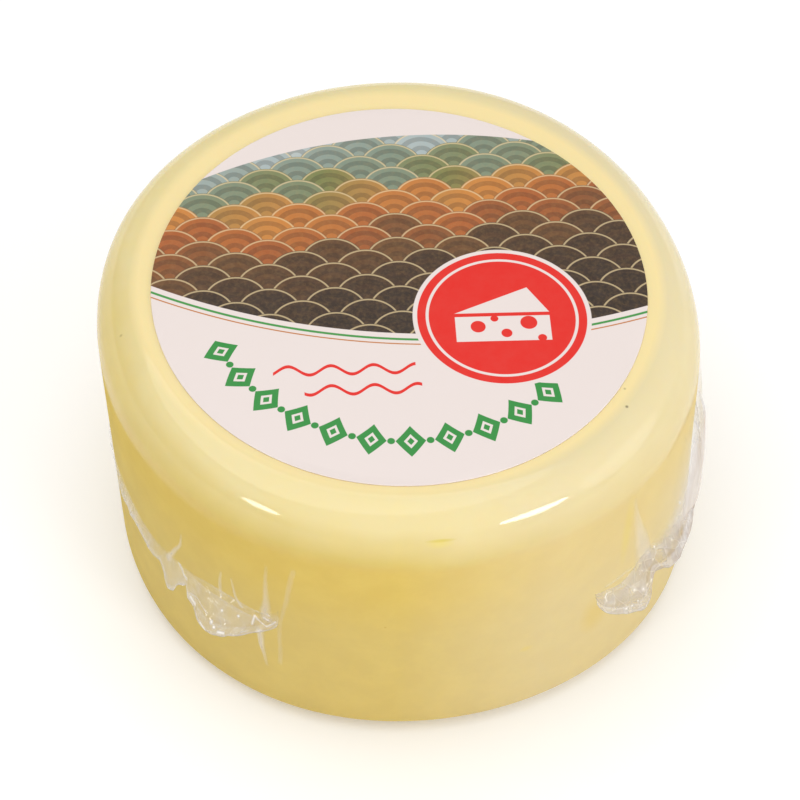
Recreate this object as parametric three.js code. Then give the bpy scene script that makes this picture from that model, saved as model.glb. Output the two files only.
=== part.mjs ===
// A whole wheel of kashkaval cheese, shrink-wrapped in clear film with a round paper label on top.
// Millimetres and degrees. The origin is the centre of the flat underside, +Z is up and the front
// is at -Y. An angle round the wheel is 0 at +X and grows anticlockwise seen from above.
import * as THREE from "three";

// The wheel
const HEIGHT = 74.5;
const WALL_RADIUS = 62.5;
const TOP_EDGE_WIDTH = 9.5; // the top edge is a quarter of an ellipse, this far in from the wall
const TOP_EDGE_DEPTH = 11.8; // and this far down from the top
const BOTTOM_EDGE = 6.6; // radius of the bottom edge
const LEAN = [-2.8, -0.2]; // x and y of the top's centre: the wheel settled a little to one side
// How far the wheel is from round: rows of lobes, then cosine and sine heights at top and at base
const LOBES = [
  { count: 2, top: [-0.65, -0.3], base: [0.65, 0] },
  { count: 3, top: [-0.25, -0.15], base: [0.4, -0.3] },
  { count: 4, top: [-0.15, -0.4], base: [-0.1, -0.25] },
];

// The label, which lies flat on the top
const LABEL_RADIUS = 50;
const LABEL_THICKNESS = 0.3;
const LABEL_CENTRE = [-2.5, -1.75];

// The sealed edge of the film, which runs round the sides and back and is open at the front
const SEAM_START = -49.8;
const SEAM_END = 248;
const SEAM_WIDTH = 1.8; // how far it stands out between the corners
const SEAM_THICKNESS = 0.9;
const SEAM_ROOT_HEIGHT = 35; // where it leaves the wall
const SEAM_RIM_HEIGHT = 32.8; // of its outer edge
const SEAM_CLEARANCE = 0.35; // to the wall
const TIP_LENGTH = 4.5; // degrees over which it narrows to nothing at each end
const TIP_WIDTH = 0.6;
const CRINKLE = 0.8; // height of the ripples at the outer edge
// The film's corners gather into ears. Each bump adds width, lifts its root and drops its rim, and
// fades over its "before" and "after" degrees on either side of "at".
const BUMPS = [
  { at: -44, before: 4.8, after: 4.5, width: 4.7, lift: -2, drop: 3.8 },
  { at: -32.5, before: 3, after: 10, width: 3.6, lift: 0.8, drop: 0.6 },
  { at: 41, before: 14, after: 4, width: 2.6, lift: 1, drop: 1 },
  { at: 50, before: 4, after: 7, width: 4.2, lift: 2, drop: 3 },
  { at: 131, before: 7, after: 4.5, width: 4.4, lift: 2, drop: 2.5 },
  { at: 141, before: 4, after: 12, width: 2.2, lift: 0.5, drop: 1 },
  { at: 200, before: 22, after: 16, width: -1.2, lift: -0.6, drop: -0.6 },
  { at: 227, before: 10, after: 2.2, width: 2.3, lift: 0.5, drop: 0.8 },
  { at: 238.5, before: 5, after: 5.5, width: 4.1, lift: 3, drop: 1 },
];

// How finely the shapes are cut into faces
const WHEEL_STEPS = 96;
const WALL_RINGS = 5;
const TOP_EDGE_RINGS = 7;
const BOTTOM_EDGE_RINGS = 5;
const LABEL_STEPS = 96;
const SEAM_STEPS = 240;
const SEAM_COLUMNS = 4; // points across the strip, on each of its two faces

const DEGREE = Math.PI / 180;

/** Centre of the leaning wheel at a height. */
function axisAt(z) {
  return [(LEAN[0] * z) / HEIGHT, (LEAN[1] * z) / HEIGHT];
}

/** Distance from the leaning axis to the wall: the radius plus the lobes, blended base to top. */
function wallRadius(degrees, z) {
  const k = z / HEIGHT;
  return LOBES.reduce((radius, lobe) => {
    const turn = lobe.count * degrees * DEGREE;
    const cosine = lobe.base[0] * (1 - k) + lobe.top[0] * k;
    const sine = lobe.base[1] * (1 - k) + lobe.top[1] * k;
    return radius + cosine * Math.cos(turn) + sine * Math.sin(turn);
  }, WALL_RADIUS);
}

/** The point at an angle, a distance from the leaning axis and a height. */
function pointAt(degrees, radius, z) {
  const [x, y] = axisAt(z);
  return [x + radius * Math.cos(degrees * DEGREE), y + radius * Math.sin(degrees * DEGREE), z];
}

/** A geometry of flat triangles from points and the indices of each triangle. */
function facetedGeometry(points, triangles) {
  const geometry = new THREE.BufferGeometry();
  geometry.setAttribute("position", new THREE.Float32BufferAttribute(points.flat(), 3));
  geometry.setIndex(triangles.flat());
  geometry.computeVertexNormals();
  return geometry;
}

/** A closed solid from rings of equal length, lowest first, each anticlockwise from above. */
function stackedRings(rings) {
  const count = rings[0].length;
  const points = rings.flat();
  const triangles = [];
  for (let row = 0; row + 1 < rings.length; row++) {
    for (let i = 0; i < count; i++) {
      const a = row * count + i;
      const b = row * count + ((i + 1) % count);
      triangles.push([a, b, b + count], [a, b + count, a + count]);
    }
  }
  const top = (rings.length - 1) * count;
  const centreOf = (ring) => [0, 1, 2].map((k) => ring.reduce((sum, p) => sum + p[k], 0) / count);
  const low = points.push(centreOf(rings[0])) - 1;
  const high = points.push(centreOf(rings.at(-1))) - 1;
  for (let i = 0; i < count; i++) {
    const next = (i + 1) % count;
    triangles.push([low, next, i], [high, top + i, top + next]);
  }
  return facetedGeometry(points, triangles);
}

/** The wheel's profile, base to top: how far each ring is in from the wall, and its height. */
function wheelProfile() {
  const profile = [];
  for (let i = 0; i <= BOTTOM_EDGE_RINGS; i++) {
    const turn = ((i / BOTTOM_EDGE_RINGS) * Math.PI) / 2;
    profile.push([BOTTOM_EDGE * (1 - Math.sin(turn)), BOTTOM_EDGE * (1 - Math.cos(turn))]);
  }
  const wallTop = HEIGHT - TOP_EDGE_DEPTH;
  for (let i = 1; i < WALL_RINGS; i++) {
    profile.push([0, BOTTOM_EDGE + ((wallTop - BOTTOM_EDGE) * i) / WALL_RINGS]);
  }
  for (let i = 0; i <= TOP_EDGE_RINGS; i++) {
    const turn = ((i / TOP_EDGE_RINGS) * Math.PI) / 2;
    const z = i === TOP_EDGE_RINGS ? HEIGHT : wallTop + TOP_EDGE_DEPTH * Math.sin(turn);
    profile.push([TOP_EDGE_WIDTH * (1 - Math.cos(turn)), z]);
  }
  return profile;
}

function wheelGeometry() {
  return stackedRings(
    wheelProfile().map(([inset, z]) =>
      Array.from({ length: WHEEL_STEPS }, (_, i) => {
        const degrees = (360 * i) / WHEEL_STEPS;
        return pointAt(degrees, wallRadius(degrees, z) - inset, z);
      }),
    ),
  );
}

function labelGeometry() {
  const ring = (z) =>
    Array.from({ length: LABEL_STEPS }, (_, i) => {
      const turn = (2 * Math.PI * i) / LABEL_STEPS;
      const x = LABEL_CENTRE[0] + LABEL_RADIUS * Math.cos(turn);
      return [x, LABEL_CENTRE[1] + LABEL_RADIUS * Math.sin(turn), z];
    });
  return stackedRings([ring(HEIGHT), ring(HEIGHT + LABEL_THICKNESS)]);
}

/** Sum over the bumps of one of their amounts, each faded as a bell on either side. */
function bumpsAt(degrees, amount) {
  return BUMPS.reduce((sum, bump) => {
    const away = degrees - bump.at;
    const reach = away < 0 ? bump.before : bump.after;
    return sum + bump[amount] * Math.exp(-((away / reach) ** 2));
  }, 0);
}

/** 0 at both ends of the seam and 1 between its tips. */
function tipFade(degrees) {
  const fromEnd = Math.min(degrees - SEAM_START, SEAM_END - degrees);
  return THREE.MathUtils.smoothstep(fromEnd, 0, TIP_LENGTH);
}

/** Ripple of the seam's outer edge, about -1 to 1: three waves that never line up. */
function crinkleAt(degrees) {
  const turn = degrees * DEGREE;
  return 0.5 * Math.sin(31 * turn) + 0.35 * Math.sin(53 * turn + 1) + 0.25 * Math.sin(19 * turn + 2);
}

/** The closed outline of the seam at an angle: its lower face outwards, then its upper face back. */
function seamSection(degrees) {
  const fade = tipFade(degrees);
  const width = TIP_WIDTH + (SEAM_WIDTH + bumpsAt(degrees, "width") - TIP_WIDTH) * fade;
  const root = SEAM_ROOT_HEIGHT + bumpsAt(degrees, "lift");
  const rim = THREE.MathUtils.lerp(root, SEAM_RIM_HEIGHT - bumpsAt(degrees, "drop"), fade);
  const face = (side) =>
    Array.from({ length: SEAM_COLUMNS }, (_, i) => {
      const out = i / (SEAM_COLUMNS - 1);
      const ripple = CRINKLE * fade * out * crinkleAt(degrees + 4 * out);
      const z = THREE.MathUtils.lerp(root, rim, out) + ripple + (side * SEAM_THICKNESS) / 2;
      return pointAt(degrees, wallRadius(degrees, z) + SEAM_CLEARANCE + width * out, z);
    });
  return [...face(-1), ...face(1).reverse()];
}

/** A closed solid swept through sections of equal length, with a flat cap at each end. */
function sweptSolid(sections) {
  const count = sections[0].length;
  const points = sections.flat();
  const triangles = [];
  for (let row = 0; row + 1 < sections.length; row++) {
    for (let i = 0; i < count; i++) {
      const a = row * count + i;
      const b = row * count + ((i + 1) % count);
      triangles.push([a, b + count, b], [a, a + count, b + count]);
    }
  }
  const last = (sections.length - 1) * count;
  for (let i = 0; i < count / 2 - 1; i++) {
    const [low, next] = [i, i + 1];
    const [high, highNext] = [count - 1 - i, count - 2 - i];
    triangles.push([low, next, highNext], [low, highNext, high]);
    triangles.push([last + low, last + highNext, last + next]);
    triangles.push([last + low, last + high, last + highNext]);
  }
  return facetedGeometry(points, triangles);
}

function seamGeometry() {
  const step = (SEAM_END - SEAM_START) / SEAM_STEPS;
  return sweptSolid(
    Array.from({ length: SEAM_STEPS + 1 }, (_, i) => seamSection(SEAM_START + i * step)),
  );
}

/** A named mesh with its finish. */
function piece(name, geometry, color, roughness) {
  const material = new THREE.MeshStandardMaterial({ color, roughness, metalness: 0 });
  const mesh = new THREE.Mesh(geometry, material);
  mesh.name = name;
  return mesh;
}

const kashkaval = new THREE.Group();
kashkaval.add(
  piece("cheese_wheel", wheelGeometry(), 0xe9d795, 0.3),
  piece("label", labelGeometry(), 0xeee5e3, 0.35),
  piece("film_seam", seamGeometry(), 0xd9cdc9, 0.2),
);

export default kashkaval;
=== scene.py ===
"""Dresses a kashkaval wheel: cheese in tight clear film, a printed label, and the film's sealed edge.

Sizes in the tables are millimetres and angles are degrees, in the frame of the CAD model: the origin
is the centre of the underside, +Z is up, the front is at -Y, and an angle round the wheel is 0 at +X
and grows anticlockwise seen from above. Meshes are written in metres.
"""

import bpy
import numpy as np
from bpy.props import FloatProperty, FloatVectorProperty, PointerProperty
from mathutils import Matrix, Vector


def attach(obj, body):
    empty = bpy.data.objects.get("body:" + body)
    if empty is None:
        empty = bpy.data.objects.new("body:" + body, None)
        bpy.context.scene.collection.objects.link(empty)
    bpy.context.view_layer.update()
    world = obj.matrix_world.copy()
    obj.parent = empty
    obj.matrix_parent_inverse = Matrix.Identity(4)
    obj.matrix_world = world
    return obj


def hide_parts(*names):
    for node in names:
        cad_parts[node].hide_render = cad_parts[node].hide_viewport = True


bl_info = {
    "name": "Kashkaval Wheel",
    "version": (1, 0, 0),
    "blender": (4, 5, 0),
    "location": "3D View > Sidebar > Kashkaval",
    "description": "Dresses a kashkaval wheel in cheese, printed label and crinkled clear film",
    "category": "Object",
}

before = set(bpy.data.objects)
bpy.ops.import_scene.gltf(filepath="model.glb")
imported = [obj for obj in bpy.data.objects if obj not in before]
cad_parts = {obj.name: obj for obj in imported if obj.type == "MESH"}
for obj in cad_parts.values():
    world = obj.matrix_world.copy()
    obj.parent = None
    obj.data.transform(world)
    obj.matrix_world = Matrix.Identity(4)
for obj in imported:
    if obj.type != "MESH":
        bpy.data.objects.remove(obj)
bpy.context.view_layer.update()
MM = 0.001

# The wheel, as in the CAD model
HEIGHT = 74.5
WALL_RADIUS = 62.5
TOP_EDGE_WIDTH = 9.5
TOP_EDGE_DEPTH = 11.8
BOTTOM_EDGE = 6.6
LEAN = (-2.8, -0.2)
FLAT_RADIUS = WALL_RADIUS - TOP_EDGE_WIDTH
# Lobes: how many round the wheel, then cosine and sine heights at the top and at the base
LOBES = (
    (2, (-0.65, -0.3), (0.65, 0)),
    (3, (-0.25, -0.15), (0.4, -0.3)),
    (4, (-0.15, -0.4), (-0.1, -0.25)),
)

# The label
LABEL_RADIUS = 50
LABEL_THICKNESS = 0.3
LABEL_CENTRE = (-2.5, -1.75)

# The film's sealed edge, from the front's right end round the back to its left end. Each station has
# the angle and height where the film leaves the wall, then its rim's angle, height and distance out.
SEAM = (
    (-48.9, 34.4, -49.6, 35.3, 0.9),
    (-48.7, 34.2, -50.4, 34.9, 2.3),
    (-47.8, 33.8, -49.8, 33.4, 3.7),
    (-45.6, 33, -47, 30.9, 5),
    (-43.2, 31.8, -44.5, 29.6, 6),
    (-41.2, 31.6, -42.2, 28.4, 6.4),
    (-39, 32.6, -40.1, 29.6, 6),
    (-37.4, 33.8, -38.9, 33, 5),
    (-36, 34.6, -37.4, 34.6, 4.4),
    (-33.5, 35.2, -34.6, 34.2, 6),
    (-31, 35.6, -32.4, 34, 6.2),
    (-28.5, 35.8, -30.2, 33.4, 5.6),
    (-25.5, 36, -26.5, 33.2, 5),
    (-22.5, 36.2, -23.5, 34.2, 4.3),
    (-19, 36.4, -20.4, 33.8, 3.6),
    (-14, 36.4, -14.8, 34, 2.8),
    (-7, 36, -7.4, 33.4, 2.2),
    (3, 35.6, 3, 33, 1.9),
    (18, 35.2, 18, 32.8, 1.9),
    (30, 35.5, 30, 32.8, 2.7),
    (39, 36.2, 39.5, 32, 4.5),
    (44, 36.8, 44.8, 31, 5),
    (49, 37.2, 50.4, 29.6, 6.3),
    (53, 36.8, 54.8, 30.2, 5.4),
    (58, 35.8, 59, 31.8, 3.3),
    (67, 35.1, 67.5, 32.8, 2),
    (85, 35, 85, 32.8, 1.8),
    (110, 35.1, 110, 32.7, 2),
    (121, 35.8, 120.6, 32, 3.7),
    (127, 36.6, 126, 31, 5.4),
    (131, 37, 130.4, 30.2, 6.3),
    (135.5, 36.6, 135.3, 31.2, 5.2),
    (141, 35.8, 141, 31.8, 4.2),
    (150, 35.4, 150, 32.3, 3),
    (163, 35, 163, 32.8, 2),
    (172, 34.9, 172, 32.9, 1.2),
    (180, 35.2, 180, 33.2, 0.4),
    (192, 36.2, 192, 33.4, 0.3),
    (200, 37.8, 199.4, 33.4, 0.3),
    (202, 38.4, 201.3, 33, 0.6),
    (205.5, 38.7, 204.6, 32.4, 0.9),
    (210, 37.6, 209.4, 33, 1),
    (214.5, 36.5, 214.6, 32.4, 1.2),
    (219, 36.2, 218.8, 32, 1.5),
    (221.8, 36.5, 221.4, 32.2, 1.7),
    (223.4, 36.8, 223, 30.6, 2),
    (224.8, 37.3, 224.6, 28, 2.5),
    (225.8, 37.4, 225.8, 28.4, 2.5),
    (226.8, 37.2, 226.9, 30.8, 2.3),
    (228.2, 37.2, 228.6, 32.8, 2.1),
    (229.6, 37.2, 229.7, 34.6, 2.1),
    (230.2, 37.2, 230.1, 31.8, 2.6),
    (231.4, 37.5, 231.6, 32.4, 3.4),
    (233, 37.9, 233.4, 33.2, 4.4),
    (234.8, 38.3, 235, 31, 5.4),
    (236.4, 38.5, 236.9, 29.7, 5.5),
    (238.8, 38.4, 239.6, 31.1, 5.5),
    (241.2, 38, 242, 32.8, 5.1),
    (243.6, 37.6, 244.9, 35, 4.5),
    (245.2, 37.4, 247, 36.6, 4),
    (246.6, 37.8, 248.8, 38, 3.5),
    (247.8, 38.6, 250, 39.6, 2.9),
    (248.8, 39.6, 250.2, 41.4, 2.3),
    (249.2, 40.2, 249.4, 41.8, 1),
)
SEAM_TAPER = 1.2  # where its folds fade out at each end
# Creases that the film makes on the wall: points of angle, height, width, rise and haze
CREASES = (
    (
        (-112.5, 56, 0.9, 0.1, 0.05),
        (-112.8, 50, 1.2, 0.2, 0.2),
        (-113.1, 44, 1.9, 0.3, 0.28),
        (-113.4, 39, 3, 0.45, 0.42),
        (-113.4, 35.5, 3.6, 0.5, 0.36),
    ),
    (
        (-114.9, 32, 2.4, 0.4, 0.45),
        (-115.1, 26, 1.8, 0.3, 0.5),
        (-114.6, 21.6, 1.3, 0.2, 0.27),
        (-114.2, 17.6, 1, 0.1, 0.1),
    ),
    (
        (-107, 57.6, 1.6, 0.12, 0.1),
        (-108.3, 49.3, 1.6, 0.15, 0.15),
        (-110.6, 36.8, 1.2, 0.12, 0.12),
        (-111.2, 28, 1.3, 0.12, 0.16),
        (-111.5, 20, 1.6, 0.12, 0.12),
    ),
    ((-122.6, 45.5, 0.8, 0.1, 0.12), (-123.1, 39.2, 1.2, 0.15, 0.35), (-123.2, 36, 1.3, 0.15, 0.35)),
    ((-120.3, 45.2, 0.7, 0.1, 0.15), (-119.8, 40, 1, 0.15, 0.35), (-118.5, 36, 1.6, 0.2, 0.35)),
    (
        (-131.9, 48.6, 0.7, 0.1, 0.1),
        (-132.5, 44.8, 1, 0.15, 0.35),
        (-134.9, 39.5, 1.4, 0.2, 0.4),
        (-137.6, 33.2, 2, 0.3, 0.35),
    ),
    (
        (-40.8, 60, 0.8, 0.1, 0.05),
        (-39.3, 50, 2.8, 0.3, 0.25),
        (-37.4, 40, 5.4, 0.8, 0.44),
        (-35.7, 29, 7.4, 1.4, 0.5),
    ),
    ((-47, 35.3, 1.4, 0.4, 0.15), (-43.7, 35.3, 1.6, 0.5, 0.22), (-39.7, 34.6, 1.4, 0.4, 0.15)),
    ((-43, 30.4, 1.4, 0.4, 0.15), (-41.6, 32.6, 1.6, 0.5, 0.2), (-39.6, 33.2, 1.4, 0.4, 0.15)),
    # The film that stands off the wall above the right side's sealed edge
    (
        (-37, 48, 24, 0.2, 0.01),
        (-31, 47, 30, 1.8, 0.1),
        (-27.5, 46, 34, 2.7, 0.34),
        (-24, 45.5, 35, 3.4, 0.8),
        (-20.5, 45, 36, 3.7, 1),
        (-14, 45, 36, 2.5, 0.95),
        (-8, 46, 33, 1, 0.45),
        (0, 46, 30, 0.4, 0.15),
        (10, 46, 27, 0.1, 0.02),
    ),
)
# How hazy the seam is, at angles round it
SEAM_HAZE = (
    (-49, 0.4),
    (-38, 0.44),
    (-32, 0.54),
    (-26, 0.58),
    (15, 0.58),
    (40, 0.38),
    (190, 0.34),
    (205, 0.17),
    (222, 0.14),
    (235, 0.19),
    (249, 0.2),
)
# Sharp white folds in the seam, partly painted highlights and glints along the fold edges: start and
# end, each an angle and a distance from the wall, then width and strength
FOLDS_AND_GLINTS = (
    # The left ear's crumpled tip: its edges as painted highlight lines, with a painted glint.
    ((244.4, 1.4), (246.2, 2.85), 0.34, 0.75),
    ((246.2, 2.85), (247.7, 2.1), 0.36, 0.8),
    ((244.23, 1.3), (244.03, 2.8), 0.42, 0.9),
    ((244.4, 0.3), (245.9, 0.1), 0.26, 0.6),
    ((245.9, 1.2), (246.6, 1.6), 0.32, 0.85),
    ((246.5, 0.4), (247, 0.8), 0.32, 0.85),
    ((229.5, 2.1), (231.2, 2.8), 0.34, 0.5),
    ((231.2, 2.8), (233, 3.9), 0.36, 0.8),
    ((230.3, 2.2), (235.6, 3.7), 0.3, 0.45),
    ((235, 5.2), (235.9, 5.4), 0.34, 0.7),
    ((238.26, 5.06), (239.4, 5.03), 0.4, 0.95),
    ((242.4, 4.3), (243.4, 4), 0.3, 0.6),
    ((225.5, 0.1), (229.2, 1.5), 0.28, 0.6),
    # A painted glint on the right ear, a short curved line.
    ((-46.9, 2.1), (-46.95, 1.4), 0.34, 0.8),
    ((-46.95, 1.4), (-46.4, 0.9), 0.34, 0.9),
    ((-46.4, 0.9), (-45.3, 0.9), 0.3, 0.7),
)
# Painted glints in the seam, small white spots: angle, distance from the wall and radius, each a very
# short fold
PAINTED_GLINTS = (
    (236.67, 4.18, 0.5),
    (237.27, 4.62, 0.4),
    (238.06, 2.42, 0.34),
    (241.44, 2.22, 0.34),
    (-40.75, 2.81, 0.6),
    (-39.35, 3.9, 0.55),
    (-44.1, 4.77, 0.36),
    (-42.9, 4.86, 0.36),
    (-41.5, 4.6, 0.36),
    (-38.4, 4.1, 0.36),
    (-37.6, 4.5, 0.4),
    (-35.2, 2.5, 0.34),
    (-33.4, 1.2, 0.36),
    (-29.2, 3, 0.6),
    (-22.85, 2.6, 0.5),
    (-22.25, 1.1, 0.4),
    (-15.5, 1.2, 0.42),
    (-11.5, 1, 0.42),
)
GLINT_LENGTH = 0.15  # degrees
GLINT_STRENGTH = 0.95
# The film's hidden corners at the back, whose creases fan out by rule
BACK_CORNERS = (48, 132)
CREASES_PER_CORNER = 6
CREASE_SPACING = 3.4
ROOT_HEIGHT = 35

# Marks on the cheese: centre, size along each axis, strength and colour. The last two are painted
# shade.
MARKS_AND_SHADE = (
    ((7.3, -60.2, 69.5), (2.4, 1.5, 0.28), 0.55, (0.62, 0.5, 0.05)),
    ((7.0, -60.2, 68.9), (2.2, 1.5, 0.8), 0.3, (0.86, 0.7, 0.1)),
    ((-2.5, -62.3, 41.8), (0.28, 1, 0.28), 0.5, (0.5, 0.3, 0.06)),
    ((42.6, -30.2, 74.4), (0.3, 0.3, 1), 0.8, (0.16, 0.12, 0.07)),
    ((42.3, -25.8, 74.5), (0.25, 0.25, 1), 0.5, (0.3, 0.22, 0.1)),
    ((-57.3, -16.4, 72.8), (0.3, 0.3, 1), 0.5, (0.35, 0.26, 0.1)),
    ((26.3, -55.7, 25.9), (1.2, 1.2, 0.8), 0.3, (0.72, 0.55, 0.12)),
    # Painted shadow of the right ear, a deeper yellow patch under it.
    ((40.3, -47, 27), (3.2, 3.2, 5.5), 0.35, (0.66, 0.46, 0.1)),
    # Painted shade beside the big fold on the right, a more saturated yellow streak.
    ((44.8, -42.5, 50), (1.2, 1.2, 10), 0.3, (0.7, 0.56, 0.12)),
)

# Steps of the meshes: round the wheel, label and seam, and along a crease
WHEEL_STEPS = 480
LABEL_STEPS = 320
FRILL_STEPS = 1500
FRILL_COLUMNS = 26  # from wall to rim, on each of the two films
CREASE_STEPS = 90
CREASE_COLUMNS = 25  # across its ridge


def srgb(red, green, blue):
    """A colour given as 0 to 255 on screen, as the linear values that shaders take."""
    values = np.array([red, green, blue]) / 255
    return tuple(np.where(values <= 0.04045, values / 12.92, ((values + 0.055) / 1.055) ** 2.4))


# -------- forms


def smooth(x):
    """0 below 0, 1 above 1 and a smooth S between: 3x^2 - 2x^3."""
    x = np.clip(x, 0, 1)
    return x * x * (3 - 2 * x)


def mix(a, b, k):
    """The value a share k of the way from a to b."""
    return a + (b - a) * k


def blend(first, second, k):
    """The same for colours."""
    return tuple(mix(a, b, k) for a, b in zip(first, second))


def wall_radius(degrees, z):
    """Distance from the leaning axis to the wall: the radius plus each lobe's waves, base to top."""
    k = z / HEIGHT
    radius = WALL_RADIUS
    for count, top, base in LOBES:
        turn = np.radians(count * degrees)
        cosine, sine = (mix(low, high, k) for low, high in zip(base, top))
        radius = radius + cosine * np.cos(turn) + sine * np.sin(turn)
    return radius


def points_at(degrees, radius, z):
    """Points at angles and distances from the axis, which leans in proportion to height."""
    turn = np.radians(degrees)
    x = LEAN[0] * z / HEIGHT + radius * np.cos(turn)
    y = LEAN[1] * z / HEIGHT + radius * np.sin(turn)
    return np.stack(np.broadcast_arrays(x, y, z), axis=-1)


def lattice_noise(x, y, seed, around=256):
    """Smooth noise, -1 to 1: random heights at whole numbers, blended between them by the smooth S.

    x repeats after `around` cells, so that noise round a wheel closes on itself.
    """
    heights = np.random.default_rng(seed).uniform(-1, 1, (256, 256))
    column, row = np.floor(x).astype(int), np.floor(y).astype(int)
    u, v = smooth(x - column), smooth(y - row)

    def corner(i, j):
        return heights[(column + i) % around, (row + j) % 256]

    return mix(mix(corner(0, 0), corner(1, 0), u), mix(corner(0, 1), corner(1, 1), u), v)


def crumple(x, y, seed, size, spread, waves=9):
    """A crumpled sheet, about -1 to 1: a sum of triangle waves, whose flat facets meet in sharp folds.

    Each wave has its own length near `size` and its own direction, up to `spread` degrees from x.
    """
    rng = np.random.default_rng(seed)
    total = 0
    for _ in range(waves):
        turn = np.radians(rng.uniform(-spread, spread))
        length = size * rng.uniform(0.6, 2)
        along = (x * np.cos(turn) + y * np.sin(turn)) / length + rng.uniform()
        total = total + (4 * np.abs(along % 1 - 0.5) - 1) * length / size
    return total / (1.3 * np.sqrt(waves))


def closed_shell(rings):
    """Points, quads and triangles of a closed surface through rings, with a fan at each end."""
    rows, around = rings.shape[:2]
    index = np.arange(rows * around).reshape(rows, around)
    after = np.roll(index, -1, axis=1)
    quads = np.stack([index[:-1], after[:-1], after[1:], index[1:]], axis=-1).reshape(-1, 4)
    first, last = np.full(around, rows * around), np.full(around, rows * around + 1)
    start = np.stack([first, after[0], index[0]], axis=-1)
    end = np.stack([last, index[-1], after[-1]], axis=-1)
    fans = np.vstack([start, end])
    points = np.vstack([rings.reshape(-1, 3), rings[[0, -1]].mean(axis=1)])
    triangles = np.vstack([quads[:, :3], quads[:, [0, 2, 3]], fans])
    a, b, c = (points[triangles[:, k]] for k in range(3))
    if np.einsum("ij,ij->", a, np.cross(b, c)) < 0:
        quads, fans = quads[:, ::-1], fans[:, ::-1]
    return points, quads, fans


def add_object(name, data):
    """A new object in the scene."""
    made = bpy.data.objects.new(name, data)
    bpy.context.scene.collection.objects.link(made)
    return made


def make_piece(name, shells, material, node=None, marks=()):
    """A smooth-shaded object of closed shells that rides on the body, with its finish.

    The film's marks are the haze of each point, then how far along and how far across the film it is.
    """
    points, faces, start = [], [], 0
    for shell_points, quads, fans in shells:
        points.append(shell_points)
        faces += (quads + start).tolist() + (fans + start).tolist()
        start += len(shell_points)
    mesh = bpy.data.meshes.new(name)
    mesh.from_pydata(np.vstack(points) * MM, [], faces)
    mesh.shade_smooth()
    for mark, values in zip(("haze", "along", "across"), marks):
        layer = mesh.attributes.new(mark, "FLOAT", "POINT")
        layer.data.foreach_set("value", values.astype(np.float32))
    mesh.materials.append(material)
    piece = add_object(name, mesh)
    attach(piece, "root")
    if node:
        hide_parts(node)
    return piece


def wheel_profile():
    """Three columns, from the centre of the base to the centre of the top.

    They are a share of the radius, an inset from the wall and a height: a flat disc, a quarter circle,
    the straight wall, a quarter ellipse and a flat disc.
    """
    foot = HEIGHT - TOP_EDGE_DEPTH
    disc = np.linspace(0.03, 1, 20)[:-1]
    turn = np.linspace(0, np.pi / 2, 18)
    edge = np.linspace(0, np.pi / 2, 34)
    parts = (
        (disc, BOTTOM_EDGE, 0),
        (1, BOTTOM_EDGE * (1 - np.sin(turn)), BOTTOM_EDGE * (1 - np.cos(turn))),
        (1, 0, np.linspace(BOTTOM_EDGE, foot, 60)[1:-1]),
        (1, TOP_EDGE_WIDTH * (1 - np.cos(edge)), foot + TOP_EDGE_DEPTH * np.sin(edge)),
        (disc[::-1], TOP_EDGE_WIDTH, HEIGHT),
    )
    return np.concatenate([np.stack(np.broadcast_arrays(*part)) for part in parts], axis=1)[..., None]


def cheese_rings(relief):
    """The wheel's rings, sunk by up to `relief`: two noises, faded out at the base and the top."""
    share, inset, z = wheel_profile()
    degrees = np.arange(WHEEL_STEPS) * 360 / WHEEL_STEPS
    broad = lattice_noise(degrees / 15, z / 14, 3, around=24)
    fine = lattice_noise(degrees / 5, z / 6, 4, around=72)
    fade = smooth(z / BOTTOM_EDGE) * smooth((HEIGHT - z) / 4)
    sunk = relief * fade * (0.5 + 0.38 * broad + 0.12 * fine)
    return points_at(degrees, share * (wall_radius(degrees, z) - inset) - sunk, z)


def label_rings(wave):
    """A thin disc with a rounded rim, whose face sinks by up to `wave` in broad ripples."""
    degrees = np.arange(LABEL_STEPS) * 360 / LABEL_STEPS
    rim = np.radians([-90, -45, 0, 30, 60, 90])
    round_by = LABEL_THICKNESS / 2
    face = np.linspace(LABEL_RADIUS - round_by, 0.5, 26)[1:]
    edge = LABEL_RADIUS - round_by + round_by * np.cos(rim)
    radius = np.concatenate([face[::-1], edge, face])[:, None]
    height = np.concatenate([-np.ones(len(face)), np.sin(rim), np.ones(len(face))])[:, None]
    x = LABEL_CENTRE[0] + radius * np.cos(np.radians(degrees))
    y = LABEL_CENTRE[1] + radius * np.sin(np.radians(degrees))
    ripple = (0.5 + 0.5 * lattice_noise(x / 17 + 40, y / 13 + 40, 8)) * (height > 0.9)
    z = HEIGHT + round_by * (1 + height) - wave * ripple
    return np.stack(np.broadcast_arrays(x, y, z), axis=-1)


def curve_through(x, stations, values):
    """Rows of values at x: a cubic between neighbouring stations, level at each peak, never past it.

    A station's slope is the harmonic mean of those on its two sides, or 0 where they differ in sign.
    """
    step = np.diff(stations)
    rise = np.diff(values, axis=0) / step[:, None]
    before, after = rise[:-1], rise[1:]
    slope = np.zeros_like(values)
    same = before * after > 0
    slope[1:-1][same] = 2 * before[same] * after[same] / (before[same] + after[same])
    k = np.clip(np.searchsorted(stations, x) - 1, 0, len(step) - 1)
    h = step[k][:, None]
    t = (x[:, None] - stations[k][:, None]) / h
    start, end = values[k], values[k + 1]
    leaving = t * (1 - t) ** 2 * h * slope[k]
    arriving = t**2 * (1 - t) * h * slope[k + 1]
    return mix(start, end, smooth(t)) + leaving - arriving


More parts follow.
